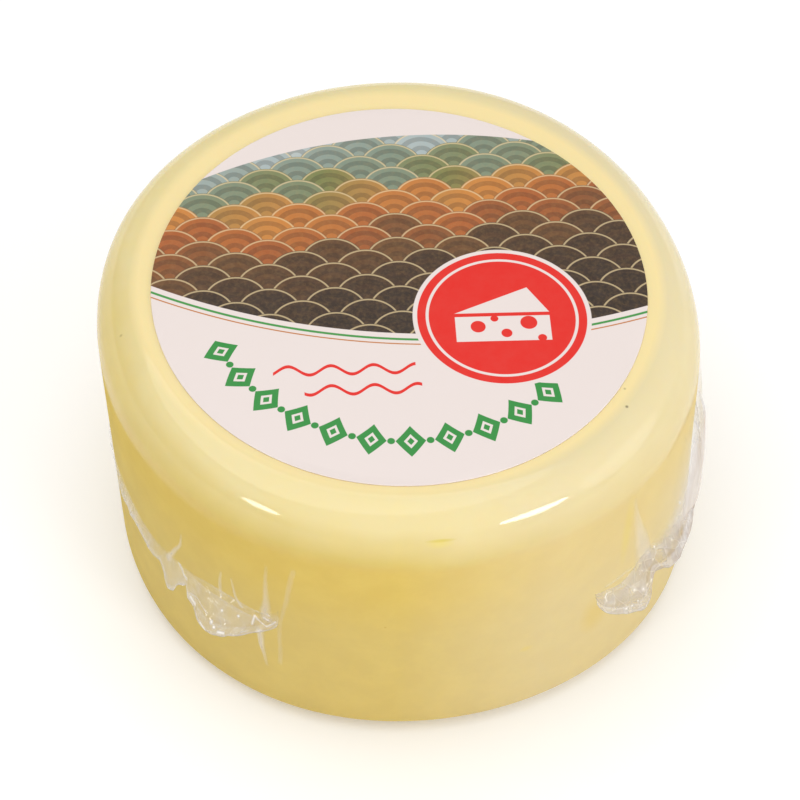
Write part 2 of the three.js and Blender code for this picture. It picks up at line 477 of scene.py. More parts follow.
def frill(height):
    """Rings of the film's sealed edge, one for each angle, and its marks: haze, and place on the film.

    Two films leave the wall apart, meet two thirds of the way out and run on as one strip to the rim.
    Broad dents crumple each film alone near the wall, and pleats crumple both alike at the strip. The
    haze, how white the film is, starts at a faint line by the wall and is strongest along the rim.
    """
    table = np.array(SEAM, float)
    span = np.linspace(table[0, 0], table[-1, 0], FRILL_STEPS)
    root, root_z, rim, rim_z, width = (c[:, None] for c in curve_through(span, table[:, 0], table).T)
    end = smooth(np.minimum(span - span[0], span[-1] - span) / SEAM_TAPER)[:, None]
    out = np.linspace(0, 1, FRILL_COLUMNS)[None, :]
    degrees = mix(root, rim, out)
    arc = np.radians(root) * WALL_RADIUS
    across = out * width
    ear = smooth((width - 1.5) / 4)
    joined = smooth((out - mix(0.15, 0.55, ear)) / 0.25)
    lobes = lattice_noise(arc / 3.1 + 200, 0 * arc, 21)
    pleats = crumple(arc + 0.5 * across, 0 * across, 22, 2.2, 1, 3)
    lip = np.exp(-(((out - 0.74) / 0.07) ** 2))
    line = np.exp(-(((1 - out) * width / 0.3) ** 2))
    foot = np.exp(-(((across - 0.35) / 0.2) ** 2))
    cloud = lattice_noise(arc / 2.3 + 120, across / 1.8, 24)
    veil = np.interp(span, *np.transpose(SEAM_HAZE))[:, None]
    onset = mix(0.5, 3, smooth((veil - 0.45) / 0.12))
    faces, hazes = [], []
    swell = np.sin(np.pi * np.clip(out * 1.3, 0, 1))
    for side, seed, narrow_gap, ear_gap in ((1, 31, 0.4, 1.1), (-1, 37, 0.8, 3)):
        dents = lattice_noise(arc / 3.4 + 150, across / 2.4 + 10, seed)
        apart = mix(mix(narrow_gap, ear_gap, ear), 0.1, joined) * (1 - out**2)
        fold = mix(mix(0.3, 0.8, ear) * dents * swell, 0.35 * pleats, joined)
        lift = height * end * (fold + 0.4 * lip * ear)
        z = mix(root_z, rim_z, out) + side * (0.06 + apart * (side < 0)) + lift + 0.3 * out * lobes
        reach = mix(-0.4, width * (1 - 0.1 * (1 + lobes) * (1 - ear)), out) + 0.5 * lift
        reach = np.minimum(reach, np.maximum(width, 1.8))
        faces.append(points_at(degrees, wall_radius(degrees, z) + reach, z))
        haze = veil * (1 + 0.35 * cloud) + 0.06 * lip * ear + 0.16 * foot * ear + 0.2 * line
        hazes.append(haze * smooth(across / onset))
    arc = arc + 0 * across
    upper = np.stack([hazes[0], arc, across])
    lower = np.stack([hazes[1], arc, -across])
    marks = np.concatenate([upper, lower[:, :, ::-1]], axis=2)
    return np.concatenate([faces[0], faces[1][:, ::-1]], axis=1), with_caps(marks)


def with_caps(marks):
    """Marks of every ring point, and of the middles that close the first and last ring."""
    return np.concatenate([marks.reshape(len(marks), -1), marks[:, [0, -1]].mean(axis=2)], axis=1)


def crease(points, scale):
    """Rings and marks of one crease: a low ridge along a smooth line on the wall, with soft ends.

    The ridge's section is a parabola, fuller where the crease is wide, closed by a line just inside the
    wall. Faint dents and a wandering line keep it from being even.
    """
    values = np.array(points, float)
    share = np.linspace(0, 1, CREASE_STEPS)
    line = curve_through(share * (len(values) - 1), np.arange(len(values)), values)
    degrees, z, width, rise, haze = (c[:, None] for c in line.T)
    arc = np.radians(degrees) * WALL_RADIUS
    wander = 0.05 * width * lattice_noise(arc / 4 + 70, 0 * arc, 53)
    along = np.stack([np.gradient(arc[:, 0]), np.gradient(z[:, 0])])
    along = along / np.linalg.norm(along, axis=0)
    end = smooth(np.minimum(share, 1 - share) * 12)[:, None]
    ridge = np.concatenate([[-1], np.linspace(-0.96, 0.96, CREASE_COLUMNS - 2), [1]])
    underside = np.linspace(0.6, -0.6, 3)
    side = np.concatenate([ridge, underside])[None, :]
    top = np.concatenate([np.ones(len(ridge)), np.zeros(len(underside))])[None, :]
    shift = side * width / 2 + wander + 0.15 * lattice_noise(z / 3 + 90, arc / 9 + 90, 51)
    arc = arc - shift * along[1][:, None]
    z = z + shift * along[0][:, None]
    degrees = np.degrees(arc / WALL_RADIUS)
    bulge = (1 - np.abs(side) ** (2 + width / 15)) * top
    dents = 1 + 0.14 * lattice_noise(arc / 5 + 60, z / 7 + 60, 52)
    lift = scale * rise * end * bulge * dents - 0.1 * (1 - top) - 0.02
    rings = points_at(degrees, wall_radius(degrees, z) + lift, z)
    return rings, with_caps((haze * end * bulge ** (1.4 + width / 40) * np.ones_like(z))[None])


def back_creases():
    """Creases that fan up and down from each hidden ear, with seeded lengths and tilts."""
    rng = np.random.default_rng(61)
    made = []
    for corner in BACK_CORNERS:
        for k in range(CREASES_PER_CORNER):
            start = corner + (k - (CREASES_PER_CORNER - 1) / 2) * CREASE_SPACING + rng.uniform(-1, 1)
            up = 1 if k % 3 else -1
            length = rng.uniform(12, 25) if up > 0 else rng.uniform(9, 17)
            tilt = (start - corner) * 0.12 + rng.uniform(-0.6, 0.6)
            width = rng.uniform(0.8, 2.6)
            haze = rng.uniform(0.4, 0.65)
            root = (start, ROOT_HEIGHT - 2 * up, width, 0.3 * width, haze)
            middle = (start + tilt, ROOT_HEIGHT + up * length / 2, width * 0.5, 0.1 * width, haze)
            tip = (start + 1.6 * tilt, ROOT_HEIGHT + up * length, width * 0.2, 0.1, 0.1 * haze)
            made.append((root, middle, tip))
    return tuple(made)


# -------- node trees


class Graph:
    """Adds nodes to a tree, so that a finish reads as a list of steps."""

    def __init__(self, tree):
        self.tree = tree

    def feed(self, socket, value):
        if isinstance(value, bpy.types.NodeSocket):
            self.tree.links.new(value, socket)
        elif socket.type == "RGBA":
            socket.default_value = (*value[:3], 1)
        else:
            socket.default_value = value

    def fill(self, node, inputs):
        """Feeds several of a node's inputs, by name or number."""
        for name, value in inputs.items():
            self.feed(node.inputs[name], value)
        return node

    def node(self, kind, inputs=None, **settings):
        made = self.tree.nodes.new(kind)
        for name, value in settings.items():
            setattr(made, name, value)
        return self.fill(made, inputs or {})

    def math(self, operation, *values, clamp=False):
        inputs = dict(enumerate(values))
        return self.node("ShaderNodeMath", inputs, operation=operation, use_clamp=clamp).outputs[0]

    def times(self, a, b, clamp=False):
        return self.math("MULTIPLY", a, b, clamp=clamp)

    def minus(self, a, b, clamp=False):
        return self.math("SUBTRACT", a, b, clamp=clamp)

    def times_plus(self, a, b, c, clamp=False):
        """a * b + c"""
        return self.math("MULTIPLY_ADD", a, b, c, clamp=clamp)

    def vector(self, operation, *values):
        """A step on vectors, which gives a number for a length, a distance or a dot product."""
        made = self.node("ShaderNodeVectorMath", dict(enumerate(values)), operation=operation)
        return made.outputs["Value" if operation in {"LENGTH", "DISTANCE", "DOT_PRODUCT"} else "Vector"]

    def parts(self, vector):
        """The X, Y and Z of a vector."""
        return self.node("ShaderNodeSeparateXYZ", {"Vector": vector}).outputs

    def span(self, value, low, high, start=0, end=1):
        """From start to end as the value goes from low to high, and level outside them."""
        limits = {"From Min": low, "From Max": high, "To Min": start, "To Max": end}
        return self.node("ShaderNodeMapRange", {"Value": value, **limits}).outputs["Result"]

    def paint(self, below, above, mask):
        """One colour laid over another where the mask is 1."""
        return self.node("ShaderNodeMix", {0: mask, 6: below, 7: above}, data_type="RGBA").outputs[2]

    def pick(self, first, second, mask):
        """The second value where the mask is 1, otherwise the first."""
        return self.node("ShaderNodeMix", {0: mask, 2: first, 3: second}, data_type="FLOAT").outputs[0]

    def ramp(self, value, stops):
        """The colour at a value, from (position, colour) stops."""
        made = self.node("ShaderNodeValToRGB", {"Fac": value})
        elements = made.color_ramp.elements
        while len(elements) < len(stops):
            elements.new(1)
        for element, (position, color) in zip(elements, stops):
            element.position = position
            element.color = (*color[:3], 1)
        return made.outputs["Color"]

    def noise(self, vector, scale, detail=2, roughness=0.5):
        look = {"Vector": vector, "Scale": scale, "Detail": detail, "Roughness": roughness}
        return self.node("ShaderNodeTexNoise", look).outputs["Fac"]

    def bump(self, height, depth):
        """A bump node for a height of 0 to 1 that is `depth` metres deep."""
        return self.node("ShaderNodeBump", {"Height": height, "Strength": 1, "Distance": depth})

    def mark(self, name):
        """One of the marks that the mesh carries."""
        return self.node("ShaderNodeAttribute", attribute_name=name).outputs["Fac"]

    def millimetres(self, scale=(1, 1, 1), shift=(0, 0, 0)):
        """Object coordinates in millimetres, stretched and shifted."""
        place = self.node("ShaderNodeTexCoord").outputs["Object"]
        change = {"Vector": place, "Scale": [s / MM for s in scale], "Location": shift}
        return self.node("ShaderNodeMapping", change).outputs["Vector"]


def new_material(name):
    """A material, the graph of its nodes and its shader."""
    material = bpy.data.materials.new(name)
    material.use_nodes = True
    material.node_tree.nodes.clear()
    graph = Graph(material.node_tree)
    shader = graph.node("ShaderNodeBsdfPrincipled")
    graph.node("ShaderNodeOutputMaterial", {"Surface": shader.outputs[0]})
    return material, graph, shader


def film_ripple():
    """The node group for stretched film: a ripple's height, and a roughness that its smears vary."""
    name = "film ripple"
    if name in bpy.data.node_groups:
        return bpy.data.node_groups[name]
    group = bpy.data.node_groups.new(name, "ShaderNodeTree")
    face = group.interface
    face.new_socket("Vector", in_out="INPUT", socket_type="NodeSocketVector")
    for socket in ("Ripple length", "Smear length", "Gloss", "Smear"):
        face.new_socket(socket, in_out="INPUT", socket_type="NodeSocketFloat")
    for socket in ("Height", "Roughness"):
        face.new_socket(socket, in_out="OUTPUT", socket_type="NodeSocketFloat")
    graph = Graph(group)
    given = graph.node("NodeGroupInput").outputs
    scale = graph.math("DIVIDE", 1, given["Ripple length"])
    ripple = graph.noise(given["Vector"], scale, detail=3)
    scale = graph.math("DIVIDE", 1, given["Smear length"])
    smear = graph.noise(given["Vector"], scale, detail=4, roughness=0.6)
    rough = graph.times_plus(smear, given["Smear"], given["Gloss"])
    graph.node("NodeGroupOutput", {"Height": ripple, "Roughness": rough})
    return group


def add_ripple(graph, shader, vector, ripple_length, smear_length, gloss, smear, depth):
    """Film gloss and ripples on a shader, from the shared group. Lengths and depth are millimetres."""
    ripple = graph.node("ShaderNodeGroup", node_tree=film_ripple())
    lengths = {"Ripple length": ripple_length, "Smear length": smear_length}
    graph.fill(ripple, {"Vector": vector, **lengths, "Gloss": gloss, "Smear": smear})
    bump = graph.bump(ripple.outputs["Height"], depth * MM).outputs["Normal"]
    graph.fill(shader, {"Roughness": ripple.outputs["Roughness"], "Normal": bump})
    return bump


# -------- the cheese


def wall_color(graph, place, settings):
    """Deeper up the wall and paler over the top edge, with a cloudy border that sits higher towards the
    left and right sides. The paler top edge and top are painted light, for the light that falls from
    above, and the very foot of the wall is a little darker as painted shade.
    """
    side, _, height = graph.parts(place)
    cloud = graph.noise(place, 0.05, detail=3)
    level = graph.times_plus(cloud, 5, graph.minus(height, 2.5))
    aside = graph.math("DIVIDE", graph.minus(side, 10), 50)
    level = graph.times_plus(graph.times(aside, aside), -2, level)
    low, wall = settings.low_color, settings.wall_color
    band, top = settings.band_color, settings.lit_top_color
    stops = (
        # Painted shade: a little darker at the very foot of the wall, where it meets the floor.
        (0.03, [0.94 * part for part in low]),
        (0.12, low),
        (0.5, low),
        (0.72, wall),
        (0.835, wall),
        (0.86, band),
        # Painted light: from here up the colour pales towards the top, for the light that falls from
        # above.
        (0.92, blend(band, top, 0.5)),
        (0.953, blend(band, top, 0.93)),
        (0.99, top),
    )
    color = graph.ramp(graph.math("DIVIDE", level, HEIGHT), stops)
    deep = graph.times(graph.noise(place, 0.13, detail=5, roughness=0.6), 0.5)
    color = graph.paint(color, settings.mottle_color, graph.minus(deep, 0.2, clamp=True))
    # Partly the film's haze and partly painted sheen: a pale veil over the right side, which faces the
    # bright right of the studio.
    return graph.paint(color, settings.right_haze_and_sheen_color, graph.span(side, 0, 30, 0, 0.34))


def flat_sheen_mask(graph, height):
    """1 on the flat of the top round the label, where a paler colour is painted as sheen."""
    from_axis = graph.vector("LENGTH", graph.millimetres((1, 1, 0), (-LEAN[0], -LEAN[1], 0)))
    inward = graph.span(from_axis, FLAT_RADIUS + 1.5, FLAT_RADIUS - 0.5)
    return graph.times(inward, graph.math("GREATER_THAN", height, HEIGHT - TOP_EDGE_DEPTH))


def cheese_material(settings):
    """Pale yellow cheese seen through tight gloss film, whose gloss shows from the top edge up."""
    material, graph, shader = new_material("cheese")
    place = graph.millimetres()
    height = graph.parts(place)["Z"]
    color = wall_color(graph, place, settings)
    # Painted sheen: the flat round the label is paler, as if it caught the same reflection as the top
    # edge beside it.
    color = graph.paint(color, settings.flat_sheen_color, flat_sheen_mask(graph, height))
    for centre, size, strength, mark_color in MARKS_AND_SHADE:
        scale = [1 / s for s in size]
        away = graph.vector("LENGTH", graph.millimetres(scale, [-c * s for c, s in zip(centre, scale)]))
        mask = graph.times(graph.minus(1.4, away, clamp=True), strength)
        color = graph.paint(color, mark_color, mask)
    look = {
        "Base Color": color,
        "Subsurface Weight": 0.22,
        "Subsurface Radius": (1, 0.7, 0.3),
        "Subsurface Scale": 0.004,
        "Specular IOR Level": 0,
        "Coat Weight": graph.span(height, 61, 66),
        "Coat Roughness": 0.05,
        "Coat IOR": 1.42,
    }
    graph.fill(shader, look)
    add_ripple(graph, shader, graph.millimetres((1, 1, 0.3)), 4.5, 9, settings.gloss, 0.08, 0.03)
    return material


# -------- the label's print

# Print colours of the scallops, from the top row down
HILLS = (
    (0.0, srgb(206, 212, 208)),
    (0.12, srgb(170, 184, 184)),
    (0.26, srgb(128, 145, 128)),
    (0.38, srgb(122, 128, 74)),
    (0.48, srgb(205, 132, 58)),
    (0.58, srgb(172, 92, 40)),
    (0.70, srgb(110, 72, 38)),
    (0.82, srgb(70, 46, 28)),
    (1.0, srgb(44, 30, 24)),
)
SCALLOP = 6.6  # radius of a printed scallop
# Centre and radius of the scalloped field's two borders
LOWER_ARC = ((10, 119), 132)
UPPER_ARC = ((8, -62), 104)
ROW_RADIUS = 39.5  # of the row of diamonds
ROW_PITCH = 11  # degrees from one diamond to the next
WAVES = ((-21.5, -26, 2), (-26.5, -20, 3))  # height, left end and right end
WAVE_SWING = 1.1
ROUNDEL = (20, -9)
ROUNDEL_RADIUS = 17
# The wedge of cheese, from the roundel's centre: its lid's corners, then each hole's centre and radius
WEDGE_LID = ((-9.5, 1.1), (9.5, 1.1), (5.5, 7.6))
WEDGE_HOLES = ((-5, -2.4, 1.5), (0.6, -4.2, 1.1), (5.2, -1.6, 1.7), (-1.6, -0.4, 0.8), (7.6, -5.6, 0.9))


class Print(Graph):
    """Flat printed shapes as masks: 1 inside the ink, with an edge a tenth of a millimetre soft."""

    EDGE = 0.12

    def inside(self, distance, limit):
        room = self.minus(limit, distance)
        return self.times_plus(room, 1 / self.EDGE, 0.5, clamp=True)

    def both(self, *masks):
        result = masks[0]
        for mask in masks[1:]:
            result = self.times(result, mask)
        return result

    def but_not(self, mask, hole):
        return self.times(mask, self.minus(1, hole))

    def gap(self, value, middle):
        """How far a value is from the middle, either way."""
        return self.math("ABSOLUTE", self.minus(value, middle))

    def from_centre(self, u, v, centre):
        du = self.minus(u, centre[0])
        dv = self.minus(v, centre[1])
        square = self.times_plus(du, du, self.times(dv, dv))
        return self.math("SQRT", square)

    def disc(self, u, v, centre, radius):
        return self.inside(self.from_centre(u, v, centre), radius)

    def ring(self, distance, radius, width):
        return self.inside(self.gap(distance, radius), width / 2)

    def above(self, u, v, start, end):
        """The side of a line on the left hand, going from start to end."""
        step = np.subtract(end, start) / np.linalg.norm(np.subtract(end, start))
        across = self.times_plus(u, step[1], self.times(v, -step[0]))
        return self.inside(across, start[0] * step[1] - start[1] * step[0])


def scallops(ink, u, v):
    """Overlapping scallops in rows, each a disc of rings that the row below partly covers.

    A row stands half a radius over the next, shifted by a radius. A point takes the lowest row whose
    disc reaches it. Returns the distance from that disc's centre, its random tone and its height.
    """
    base = ink.math("FLOOR", ink.math("DIVIDE", v, SCALLOP / 2))
    found = []
    for offset in (1, 0, -1):
        row = ink.math("ADD", base, offset)
        shift = ink.times(ink.math("FLOORED_MODULO", row, 2), 0.5)
        place = ink.times_plus(u, 1 / (2 * SCALLOP), shift)
        column = ink.math("ROUND", place)
        du = ink.times(ink.minus(place, column), 2 * SCALLOP)
        dv = ink.times_plus(row, -SCALLOP / 2, v)
        found.append((ink.from_centre(du, dv, (0, 0)), column, row))
    distance, column, row = found[0]
    for near, its_column, its_row in found[1:]:
        hit = ink.math("LESS_THAN", near, SCALLOP)
        distance = ink.pick(distance, near, hit)
        column = ink.pick(column, its_column, hit)
        row = ink.pick(row, its_row, hit)
    cell = ink.node("ShaderNodeCombineXYZ", {"X": column, "Y": row}).outputs[0]
    tone = ink.node("ShaderNodeTexWhiteNoise", {"Vector": cell}).outputs["Value"]
    return distance, tone, ink.times(row, SCALLOP / 2)


def print_field(ink, u, v, place, color):
    """The scallops between two arcs, with a green line and a thin orange one under them."""
    distance, tone, height = scallops(ink, u, v)
    slope = ink.times_plus(u, -0.14, height)
    depth = ink.times_plus(slope, -1 / 52, 0.78)
    hill = ink.ramp(ink.times_plus(tone, 0.16, depth), HILLS)
    rings = ink.math("FRACT", ink.times(distance, 2.6 / SCALLOP))
    darker = ink.times(ink.math("GREATER_THAN", rings, 0.5), 0.32)
    hill = ink.paint(hill, srgb(30, 24, 16), darker)
    grain = ink.times(ink.noise(place, 1.1, detail=4, roughness=0.7), 0.3)
    hill = ink.paint(hill, srgb(226, 178, 104), ink.minus(grain, 0.13, clamp=True))
    outline = ink.times(ink.ring(distance, 0.955 * SCALLOP, 0.36), 0.55)
    hill = ink.paint(hill, srgb(240, 214, 164), outline)
    low, high = (ink.from_centre(u, v, centre) for centre, _ in (LOWER_ARC, UPPER_ARC))
    field = ink.both(ink.inside(low, LOWER_ARC[1]), ink.inside(high, UPPER_ARC[1]))
    color = ink.paint(color, hill, field)
    color = ink.paint(color, srgb(60, 148, 66), ink.ring(low, LOWER_ARC[1] + 1.5, 0.55))
    return ink.paint(color, srgb(196, 120, 52), ink.ring(low, LOWER_ARC[1] + 2.7, 0.3))


def print_row(ink, u, v, color, green):
    """A row of diamonds with dots between them, which follows the rim from left to right."""
    out = ink.minus(ink.from_centre(u, v, (0, 0)), ROW_RADIUS)
    angle = ink.math("DEGREES", ink.math("ARCTAN2", u, ink.times(v, -1)))
    step = ink.math("DIVIDE", angle, ROW_PITCH)

    def from_whole(steps):
        """Millimetres along the row from the nearest whole step."""
        past = ink.minus(steps, ink.math("ROUND", steps))
        return ink.times(past, np.radians(ROW_PITCH) * ROW_RADIUS)

    slant = ink.times(ink.math("ABSOLUTE", from_whole(step)), 1.25)
    slant = ink.math("ADD", slant, ink.math("ABSOLUTE", out))
    hole = ink.both(ink.inside(slant, 1.7), ink.inside(0.9, slant))
    diamond = ink.but_not(ink.inside(slant, 3.7), hole)
    dot = ink.disc(from_whole(ink.math("ADD", step, 0.5)), out, (0, 0), 0.75)
    turn = ink.gap(angle, -ROW_PITCH)
    for shape, steps in ((diamond, 5.45), (dot, 5)):
        color = ink.paint(color, green, ink.both(shape, ink.inside(turn, ROW_PITCH * steps)))
    return color


def print_waves(ink, u, v, color, red):
    """Two thin waves."""
    swing = ink.math("SINE", ink.times(u, 0.75))
    for middle, left, right in WAVES:
        near = ink.gap(v, ink.times_plus(swing, WAVE_SWING, middle))
        ends = ink.inside(ink.gap(u, (left + right) / 2), (right - left) / 2)
        color = ink.paint(color, red, ink.both(ink.inside(near, 0.4), ends))
    return color


def print_roundel(ink, u, v, color, paper, red):
    """A red disc with a white border, a white ring and a white wedge of cheese."""
    radius = ink.from_centre(u, v, ROUNDEL)
    color = ink.paint(color, paper, ink.inside(radius, ROUNDEL_RADIUS + 0.9))
    color = ink.paint(color, red, ink.inside(radius, ROUNDEL_RADIUS))
    color = ink.paint(color, paper, ink.ring(radius, ROUNDEL_RADIUS - 2, 0.6))
    p = ink.minus(u, ROUNDEL[0])
    q = ink.minus(v, ROUNDEL[1])
    front = ink.both(ink.inside(ink.math("ABSOLUTE", p), 9.5), ink.inside(ink.gap(q, -3), 3.2))
    for x, y, size in WEDGE_HOLES:
        front = ink.but_not(front, ink.disc(p, q, (x, y), size))
    corners = zip(WEDGE_LID, WEDGE_LID[1:] + WEDGE_LID[:1])
    lid = ink.both(*(ink.above(p, q, start, end) for start, end in corners))
    return ink.paint(ink.paint(color, paper, front), paper, lid)


def label_material(settings):
    """Printed paper under tight gloss film."""
    material, graph, shader = new_material("label paper")
    ink = Print(material.node_tree)
    place = ink.millimetres(shift=(-LABEL_CENTRE[0], -LABEL_CENTRE[1], 0))
    turn = (0, 0, np.radians(-settings.turn_degrees))
    turned = ink.node("ShaderNodeMapping", {"Vector": place, "Rotation": turn}).outputs["Vector"]
    u, v, _ = ink.parts(turned)
    color = print_field(ink, u, v, place, settings.paper_color)
    color = print_row(ink, u, v, color, settings.green_color)
    color = print_waves(ink, u, v, color, settings.red_color)
    color = print_roundel(ink, u, v, color, settings.paper_color, settings.red_color)
    fibre = graph.noise(graph.millimetres(), 0.35, detail=5, roughness=0.65)
    color = graph.paint(color, srgb(214, 196, 176), graph.times(fibre, 0.06))
    graph.fill(shader, {"Base Color": color, "IOR": 1.45})
    add_ripple(graph, shader, graph.millimetres(), 11, 14, settings.gloss, 0.1, 0.012)
    return material


# -------- the film


def clear_film(name, settings):
    """A film material so far, with its haze and tint.

    The haze is a white veil over what lies behind. Where it is strongest the tint turns darker and
    warmer, as painted shade, since the film pieces cast no shade on each other.
    """
    material, graph, shader = new_material(name)
    shader.inputs["IOR"].default_value = 2
    haze = graph.times(graph.mark("haze"), settings.haze)
    tint = graph.paint(settings.tint, settings.shade_tint, graph.noise(graph.millimetres(), 0.3))
    # Painted shade: darker and warmer tint where the haze is strongest.
    tint = graph.paint(tint, settings.shaded_thick_tint, graph.span(graph.mark("haze"), 0.4, 0.8))
    return material, graph, shader, haze, tint


def stretched_film(settings):
    """Film over the wall, streaked up and down, rippled, and hazier at a slant than face on."""
    material, graph, shader, haze, tint = clear_film("film creases", settings)
    facing = graph.node("ShaderNodeLayerWeight", {"Blend": 0.5}).outputs["Facing"]
    slant = graph.span(facing, 0.1, 0.45, start=0.45)
    streaks = graph.math("ADD", graph.noise(graph.millimetres((1, 1, 0.12)), 0.35, detail=3), 0.5)
    alpha = graph.times(haze, graph.times(slant, streaks), clamp=True)
    graph.fill(shader, {"Alpha": alpha, "Base Color": tint})
    add_ripple(graph, shader, graph.millimetres((1, 1, 0.2)), 4, 6, 2 * settings.gloss, 0.08, 0.12)
    return material


def fold_mask(graph, place, start, end, width):
    """1 on the line from start to end, fading to 0 at `width` from it."""
    first, last = (np.array([np.radians(angle) * WALL_RADIUS, out, 0]) for angle, out in (start, end))
    step = last - first
    away = graph.vector("SUBTRACT", place, first)
    share = graph.vector("DOT_PRODUCT", away, step / step.dot(step))
    share = graph.times(share, 1, clamp=True)
    gap = graph.vector("DISTANCE", away, graph.vector("MULTIPLY", share, step))
    return graph.times_plus(gap, -1 / width, 1, clamp=True)


def creased_film(settings):
    """Film gathered in the seam, with facets a few millimetres wide.

    Each facet is tilted and a little more or less hazy. A thin white line, partly a painted highlight,
    runs where two of them meet, and the sharp folds and the glints are painted white.
    """
    material, graph, shader, haze, tint = clear_film("creased film", settings)
    flat = {"X": graph.mark("along"), "Y": graph.mark("across")}
    place = graph.node("ShaderNodeCombineXYZ", flat).outputs[0]
    bent = graph.node("ShaderNodeTexNoise", {"Vector": place, "Scale": 0.5}).outputs["Color"]
    bent = graph.vector("MULTIPLY_ADD", bent, (1.2, 1.2, 0), place)
    look = {"Vector": bent, "Scale": MM / settings.facet}
    facet = graph.node("ShaderNodeTexVoronoi", look, voronoi_dimensions="2D").outputs["Color"]
    edge = graph.node("ShaderNodeTexVoronoi", look, voronoi_dimensions="2D", feature="DISTANCE_TO_EDGE")
    edge = edge.outputs["Distance"]
    line = graph.times_plus(edge, -1 / 0.05, 1, clamp=True)
    varied = graph.times_plus(graph.parts(facet)["X"], 0.4, 0.8)
    varied = graph.times_plus(line, 0.35, varied)
    alpha = graph.times(haze, varied, clamp=True)
    # Painted highlight: the lines where two facets meet are whitened.
    tint = graph.paint(tint, (0.9, 0.87, 0.87), graph.times(line, 0.25))
    # Painted glints: white spots, each a very short fold.
    glint_folds = tuple(
        ((angle, out), (angle + GLINT_LENGTH, out), size, GLINT_STRENGTH) for angle, out, size in PAINTED_GLINTS
    )
    # Folds and glints are painted white and made nearly opaque.
    for start, end, width, strength in FOLDS_AND_GLINTS + glint_folds:
        fold = graph.times(fold_mask(graph, place, start, end, width), strength)
        alpha = graph.math("MAXIMUM", alpha, fold)
        tint = graph.paint(tint, (1, 0.97, 0.97), fold)
    graph.fill(shader, {"Alpha": alpha, "Base Color": tint})
    rippled = add_ripple(graph, shader, place, 1.2, 3, settings.gloss, 0.08, 0.1)
    tilted = graph.bump(edge, settings.facet * 0.15)
    graph.feed(tilted.inputs["Normal"], rippled)
    graph.feed(shader.inputs["Normal"], tilted.outputs["Normal"])
    return material


# -------- settings


def color_setting(name, description, default):
    return FloatVectorProperty(name=name, description=description, subtype="COLOR", default=default)


def number_setting(name, description, default, **limits):
    return FloatProperty(name=name, description=description, default=default, **limits)


def length_setting(name, description, default):
    return number_setting(name, description, default, unit="LENGTH", precision=5)


class CheeseSettings(bpy.types.PropertyGroup):
    relief: length_setting("Relief", "Depth of the wall's unevenness", 0.00012)
    gloss: number_setting("Gloss", "Roughness of the film on the cheese", 0.1, max=1)
    # Painted light: the top is paler for the light that falls on it from above.
    lit_top_color: color_setting("Top", "Colour of the top", (0.81, 0.69, 0.36))
    # Painted sheen: the flat round the label, paler as if it caught the top edge's reflection.
    flat_sheen_color: color_setting("Flat top", "Colour of the flat round the label", (0.91, 0.74, 0.37))
    band_color: color_setting("Top edge", "Colour of the top edge's foot", (0.645, 0.49, 0.13))
    wall_color: color_setting("Upper wall", "Colour just under the top edge", (0.64, 0.462, 0.12))
    low_color: color_setting("Lower wall", "Colour of the lower wall", (0.61, 0.456, 0.15))
    mottle_color: color_setting("Mottling", "Colour of the faint patches", (0.86, 0.68, 0.2))
    # Partly the film's haze and partly painted sheen, on the side that faces the bright right of the
    # studio.
    right_haze_and_sheen_color: color_setting("Veil", "Colour of the film's haze on the right", (0.7, 0.61, 0.45))


class LabelSettings(bpy.types.PropertyGroup):
    turn_degrees: number_setting("Turn", "How far the label is turned, in degrees", 5)
    wave: length_setting("Wave", "Depth of the paper's ripples", 0.00004)
    gloss: number_setting("Gloss", "Roughness of the film on the label", 0.16, max=1)
    paper_color: color_setting("Paper", "Colour of the bare paper", (0.83, 0.735, 0.7))
    red_color: color_setting("Red", "Ink of the roundel and waves", (0.78, 0.012, 0.006))
    green_color: color_setting("Green", "Ink of the diamonds", (0.02, 0.27, 0.045))


class FilmSettings(bpy.types.PropertyGroup):
    crumple: length_setting("Crumple", "Height of the film's folds", 0.0006)
    crease: number_setting("Creases", "How far the creases rise, times the real one", 1)
    facet: length_setting("Facets", "Width of the creased facets", 0.0026)
    gloss: number_setting("Gloss", "Roughness of the film", 0.05, max=1)
    haze: number_setting("Haze", "How white the film is", 1, max=2)
    tint: color_setting("Tint", "Colour of the film's haze", (0.69, 0.655, 0.635))
    shade_tint: color_setting("Second tint", "Colour that clouds the haze", (0.6, 0.565, 0.565))
    # Painted shade: the tint of the haziest film, darker since the film pieces cast no shade on each
    # other.
    shaded_thick_tint: color_setting("Thick tint", "Colour of the haziest film", (0.56, 0.475, 0.41))


class StageSettings(bpy.types.PropertyGroup):
    floor_color: color_setting("Floor", "Colour of the floor", (0.95, 0.95, 0.95))
    floor_glow: number_setting("Floor glow", "Light that the floor gives, to keep it white", 0.11)
    far_glow: number_setting("Far glow", "The same far from the wheel", 0.5)
    sky: number_setting("Sky", "Brightness of the white surroundings", 0.51)
    sky_side: number_setting("Sky side", "How much brighter they are at the right", 0.1)
    elevation: number_setting("Camera elevation", "Camera angle above level, in degrees", 51.785)
    roll: number_setting("Camera roll", "Camera turned about its view, in degrees", 2.406)
    distance: length_setting("Camera distance", "From the camera to its aim", 0.51375)
    lens: number_setting("Lens", "Focal length in millimetres", 108.1)


# -------- the stage


# Studio lights: azimuth and elevation of the place, distance, width and height in metres, watts
LIGHTS = (
    ("overhead", 175, 78, 1.7, 2.1, 2.1, 17.5),
    ("right fill", -10, 18, 1.4, 0.9, 0.7, 1.8),
    ("left strip", -131, 16, 0.9, 0.2, 0.12, 0.8),
    ("right strip", -46, 16.5, 0.9, 0.34, 0.13, 1.9),
)
AIM = (-1.48, -1.47, 37.06)  # the point that camera and lights face
FLOOR_HALF = 3  # metres


